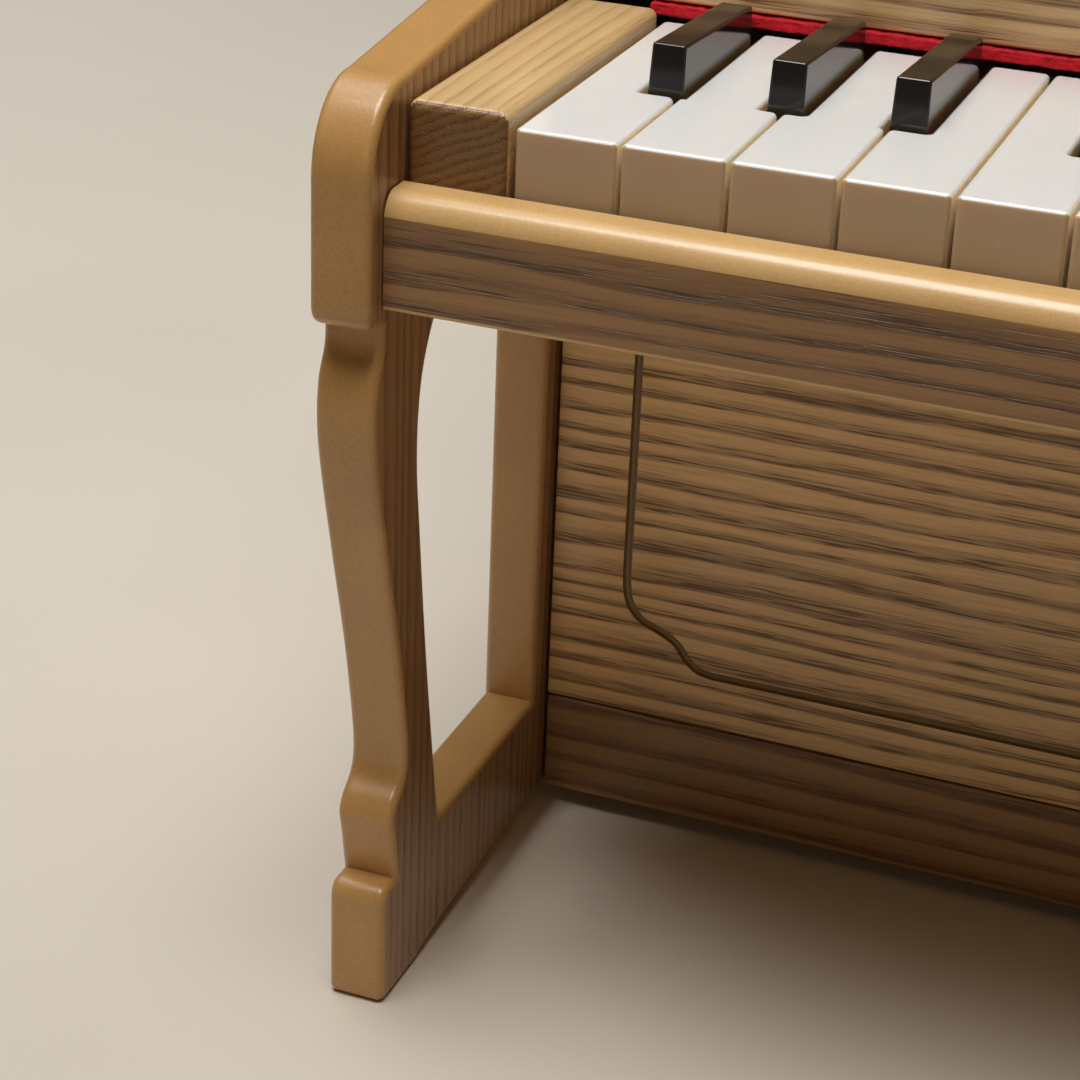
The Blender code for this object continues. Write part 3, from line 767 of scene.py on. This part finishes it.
# ---------------------------------------------------------------- key slip and cheek blocks
# A solid rail runs before the keys, its front top edge well rounded and toned honey over an ash
# veneered face. A block of solid ash fills the space at each end of the keyboard, its front dark.
SLIP_DEPTHS = SLIP_LOW.y - KEY_FRONT, SLIP_HIGH.y - KEY_FRONT
slip_edge = toned_edge("honey_toned_slip_edge", (0.70, 0.45, 0.19), (0.52, 0.30, 0.105), 0.45, 2.0)
slip_face = veneer(
    "slip_ash_veneer",
    pale=(0.38, 0.205, 0.080),
    dark=(0.11, 0.048, 0.016),
    grain="X",
    rise=(0.0, 0.3, 1.0),
    ring=0.0065,
    wander=0.008,
    pores=0.6,
    coat=0.3,
    shift=13.0,
)


def slip_outline():
    front, back = SLIP_DEPTHS
    low, high = SLIP_LOW.z, SLIP_HIGH.z
    outline = [(back, low), (back, high - 0.0006), (back - 0.0006, high)]
    outline += quarter((front + 0.0042, high - 0.0050), (0.0042, 0.0050), 90, 1, 16)
    return outline + quarter((front + 0.0012, low + 0.0012), (0.0012, 0.0012), 180, 1, 8)


bm = bmesh.new()
prism(bm, slip_outline(), SLIP_LOW.x, SLIP_HIGH.x, "X")
for face in bm.faces:
    face.material_index = 1 if face.normal.y < -0.98 else 0
piece("key_slip_rounded", bm, "case", [slip_edge, slip_face], ["key_slip"])

CHEEK_ROUND = 0.0018
cheek_long = veneer(
    "block_long_grain",
    pale=(0.70, 0.48, 0.235),
    dark=(0.56, 0.36, 0.155),
    grain="Y",
    rise=(1.0, 0.0, 0.4),
    ring=0.0034,
    wander=0.002,
    pores=0.3,
    coat=0.35,
    shift=21.0,
)
cheek_end = veneer(
    "block_end_grain",
    pale=(0.25, 0.125, 0.034),
    dark=(0.13, 0.055, 0.014),
    grain="Y",
    rise=(-0.45, 0.0, 0.89),
    ring=0.0017,
    wander=0.0008,
    pores=0.45,
    coat=0.35,
    shift=21.0,
)
for name in ("cheek_block_left", "cheek_block_right"):
    bm = bmesh.new()
    block(bm, *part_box(name), CHEEK_ROUND, 6)
    for face in bm.faces:
        face.material_index = 1 if face.normal.y < -0.6 else 0
    piece(name + "_eased", bm, "case", [cheek_long, cheek_end], [name])


# ---------------------------------------------------------------- name board and its felt
# The board behind the keys is ash veneer under clear gloss. A strip of red felt is glued beneath
# it and hides the gap above the keys.
name_face = veneer(
    "name_board_ash_veneer",
    pale=(0.95, 0.64, 0.30),
    dark=(0.34, 0.165, 0.058),
    grain="X",
    rise=(0.0, 0.3, 1.0),
    ring=0.0052,
    wander=0.0045,
    pores=0.5,
    coat=0.5,
    shift=31.0,
)
bm = bmesh.new()
block(bm, *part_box("name_board"), 0.0006, 4)
piece("name_board_veneered", bm, "case", [name_face], ["name_board"])
felt_strip("name_board_felt_strip", "name_board_felt", 0.0003)


# ---------------------------------------------------------------- tone pipes
# Thirty-two nickel-plated steel tubes, long in the bass and short in the treble, lie front to back
# over the hammers on two cushion strips, and the strips on two rails.
PIPES_LOW, PIPES_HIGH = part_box("tone_pipes")
PIPE_R = 0.004
PIPE_WALL = 0.0008
PIPE_LONG, PIPE_SHORT = 0.108, 0.060
PIPE_CENTRE = PIPES_HIGH.z - PIPE_R
NODE_SHARE = 0.276
CUSHION_HALF = 0.0022
CUSHION_DENT = 0.0005

nickel, tree, shader = new_material("nickel_plated_steel", 0.2)
haze = noise(tree, place(tree, (900, 60, 900)), 1.0, 3.0)
nickel_colour = ramp(tree, haze, (0.3, (0.62, 0.61, 0.58)), (0.7, (0.78, 0.77, 0.74)))
tree.links.new(nickel_colour, shader.inputs["Base Color"])
tree.links.new(ramp(tree, haze, (0.3, 0.16), (0.7, 0.3)), shader.inputs["Roughness"])
shader.inputs["Metallic"].default_value = 1.0
cushion_felt = felt("grey_cushion_felt", (0.30, 0.29, 0.28), (0.13, 0.13, 0.12))


def add_tube(bm, x, length, sides=24):
    rings = []
    for radius, end in ((PIPE_R, -1), (PIPE_R, 1), (PIPE_R - PIPE_WALL, 1), (PIPE_R - PIPE_WALL, -1)):
        ring = []
        for i in range(sides):
            angle = 2 * math.pi * i / sides
            y = KEY_FRONT + HAMMER + end * length / 2
            z = PIPE_CENTRE + radius * math.sin(angle)
            ring.append(bm.verts.new((x + radius * math.cos(angle), y, z)))
        rings.append(ring)
    for ring, following in zip(rings, rings[1:] + rings[:1]):
        for i in range(sides):
            j = (i + 1) % sides
            bm.faces.new((ring[i], following[i], following[j], ring[j]))


bm = bmesh.new()
for i, x in enumerate(key_middles):
    add_tube(bm, x, PIPE_LONG + (PIPE_SHORT - PIPE_LONG) * i / (len(key_middles) - 1))
bmesh.ops.recalc_face_normals(bm, faces=bm.faces)
piece("tone_pipe_tubes", bm, "case", [nickel], ["tone_pipes"])

bm = bmesh.new()
for side in (-1, 1):
    at_bass = (PIPES_LOW.x, HAMMER + side * PIPE_LONG * NODE_SHARE)
    at_treble = (PIPES_HIGH.x, HAMMER + side * PIPE_SHORT * NODE_SHARE)
    outline = [(x, y - CUSHION_HALF) for x, y in (at_bass, at_treble)]
    outline += [(x, y + CUSHION_HALF) for x, y in (at_treble, at_bass)]
    prism(bm, outline, PIPES_LOW.z, PIPE_CENTRE - PIPE_R + CUSHION_DENT, "Z", 0.0003, 2)
piece("pipe_cushions", bm, "case", [cushion_felt])


# ---------------------------------------------------------------- music ledge and upper panel
# A solid rail with rounded edges holds the music, and the veneered upper panel rises behind it to
# the top.
ledge_wood = toned_edge("honey_toned_ledge", HONEY, HONEY_DARK, 0.35, 8.0)
bm = bmesh.new()
block(bm, *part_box("music_ledge"), 0.0018, 5)
piece("music_ledge_rounded", bm, "case", [ledge_wood], ["music_ledge"])
bm = bmesh.new()
block(bm, *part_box("upper_panel"), 0.0006, 3)
piece("upper_panel_veneered", bm, "case", [panel_face], ["upper_panel"])


# ---------------------------------------------------------------- top, lid and strip hinge
# The top is a fixed rear strip and a lid that folds back over it, both of solid ash with rounded
# edges. They are joined by a long brass strip hinge, held by ten slotted screws in each leaf.
top_wood = veneer(
    "solid_ash_top",
    pale=(0.54, 0.335, 0.14),
    dark=(0.24, 0.12, 0.045),
    grain="X",
    rise=(0.0, 1.0, 0.5),
    ring=0.0058,
    wander=0.005,
    pores=0.5,
    coat=0.35,
    shift=41.0,
)
for name, body in (("top_lid", "lid"), ("top_rear_strip", "case")):
    bm = bmesh.new()
    block(bm, *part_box(name), 0.002, 6)
    piece(name + "_rounded", bm, body, [top_wood], [name])
for name in ("lid_hinge_rear_leaf", "lid_hinge_front_leaf"):
    repaint(name, brass)

SCREW_R = 0.0014
SCREW_DOME = 0.0004
DOME_PROFILE = ((1.0, 0.0), (0.97, 0.6), (0.72, 1.0))
SLOT_HALF = 0.00018
SLOT_ANGLE = 0.13
RIM_POINTS = 12
SCREW_ROW = 0.30
LEAF_T = 0.0008
SCREWS = 10
NEXT_TURN = 0.9
LID_TURN = 0.4


def add_screw(bm, x, y, z, turn):
    """A low domed head with its slot at its own angle, as a screwdriver leaves it."""
    angles = np.linspace(SLOT_ANGLE, math.pi - SLOT_ANGLE, RIM_POINTS)
    rim = [(SCREW_R * math.cos(a), SCREW_R * math.sin(a)) for a in angles]
    for half_turn in (math.pi, 0.0):
        place_at = Matrix.Translation((x, y, z)) @ Matrix.Rotation(turn + half_turn, 4, "Z")
        rings = []
        for share, level in DOME_PROFILE:
            points = [(a * share, SLOT_HALF + (b - SLOT_HALF) * share, SCREW_DOME * level) for a, b in rim]
            rings.append([bm.verts.new(place_at @ Vector(point)) for point in points])
        for ring, above in zip(rings, rings[1:]):
            for i, start in enumerate(ring):
                j = (i + 1) % len(ring)
                bm.faces.new((start, ring[j], above[j], above[i]))
        bm.faces.new(rings[-1])
        bm.faces.new(rings[0][::-1])


for name, body in (("lid_hinge_rear_leaf", "case"), ("lid_hinge_front_leaf", "lid")):
    low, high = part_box(name)
    knuckle_line = low.y if body == "case" else high.y
    outer_edge = high.y if body == "case" else low.y
    row = outer_edge + (knuckle_line - outer_edge) * SCREW_ROW
    first_turn = LID_TURN if body == "lid" else 0.0
    bm = bmesh.new()
    for i in range(SCREWS):
        x = low.x + (high.x - low.x) * (i + 0.5) / SCREWS
        add_screw(bm, x, row, low.z + LEAF_T, NEXT_TURN * i + first_turn)
    piece(name + "_screws", bm, body, [brass])
